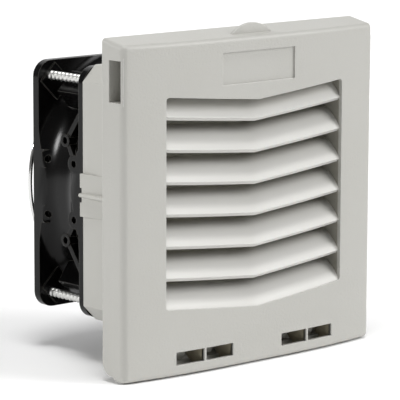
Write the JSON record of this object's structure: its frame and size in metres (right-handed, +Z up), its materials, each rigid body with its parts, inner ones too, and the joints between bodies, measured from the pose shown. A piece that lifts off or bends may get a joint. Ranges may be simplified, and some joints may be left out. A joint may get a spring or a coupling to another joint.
{
  "type": "cabinet filter fan",
  "caption": "Panel-mounted ventilation unit: hinged louvre cover over a filter mat, a square duct frame and an axial fan with a wire guard.",
  "frame": {"origin": "centre of the square cabinet cut-out, on the fan's axis, in the plane of the bezel flange's rear face, where the cabinet wall's outer face lies once the gasket is pressed flat", "axes": "+Y is the air flow and points into the cabinet, so the louvred front faces -Y; +Z is up; +X is to the right seen from the front"},
  "size_m": [0.157, 0.101, 0.1595],
  "materials": {
    "abs_light_grey": "fine matt texture",
    "black_foam": "closed-cell foam",
    "white_fibre": "bonded fibre mat",
    "black_casting": "semi-gloss paint on die-cast aluminium",
    "black_plastic": "moulded, satin",
    "brass": "turned",
    "tinned_brass": "tinned",
    "bright_steel": "ground",
    "zinc_plated_steel": "zinc plated",
    "guard_wire": "bright plated wire",
    "electrical_steel": "stacked sheets",
    "cast_aluminium": "as cast",
    "natural_nylon": "moulded",
    "enamelled_copper": "varnished"
  },
  "bodies": {
    "frame": {"housing_frame": "abs_light_grey", "filter_support_grid": "abs_light_grey", "panel_gasket": "black_foam", "filter_mat": "white_fibre", "fan_housing": "black_casting", "terminal_block": "black_plastic", "bearing_tube": "brass", "earth_screw": "brass", "front_bearing": "bright_steel", "rear_bearing": "bright_steel", "stator_core": "electrical_steel", "front_winding_insulator": "natural_nylon", "rear_winding_insulator": "natural_nylon", "finger_guard": "guard_wire", "stator_coil_1": "enamelled_copper", "fan_screw_1": "zinc_plated_steel", "stator_coil_2": "enamelled_copper", "fan_screw_2": "zinc_plated_steel", "stator_coil_3": "enamelled_copper", "fan_screw_3": "zinc_plated_steel", "stator_coil_4": "enamelled_copper", "fan_screw_4": "zinc_plated_steel", "terminal_tab_1": "tinned_brass", "terminal_tab_2": "tinned_brass"},
    "cover": {"louvre_cover": "abs_light_grey"},
    "rotor": {"impeller": "black_plastic", "rotor_ring": "electrical_steel", "front_end_ring": "cast_aluminium", "rear_end_ring": "cast_aluminium", "rotor_shaft": "bright_steel", "shaft_clip": "bright_steel", "thrust_washer": "natural_nylon", "preload_spring": "bright_steel"}
  },
  "joints": [
    {"name": "cover_hinge", "type": "hinge", "parent": "frame", "child": "cover", "pos_m": [0, -0.0064, -0.0706], "axis": [1, 0, 0], "range_deg": [0, 55]},
    {"name": "impeller_spin", "type": "hinge", "parent": "frame", "child": "rotor", "pos_m": [0, 0, 0], "axis": [0, 1, 0], "continuous": true}
  ]
}
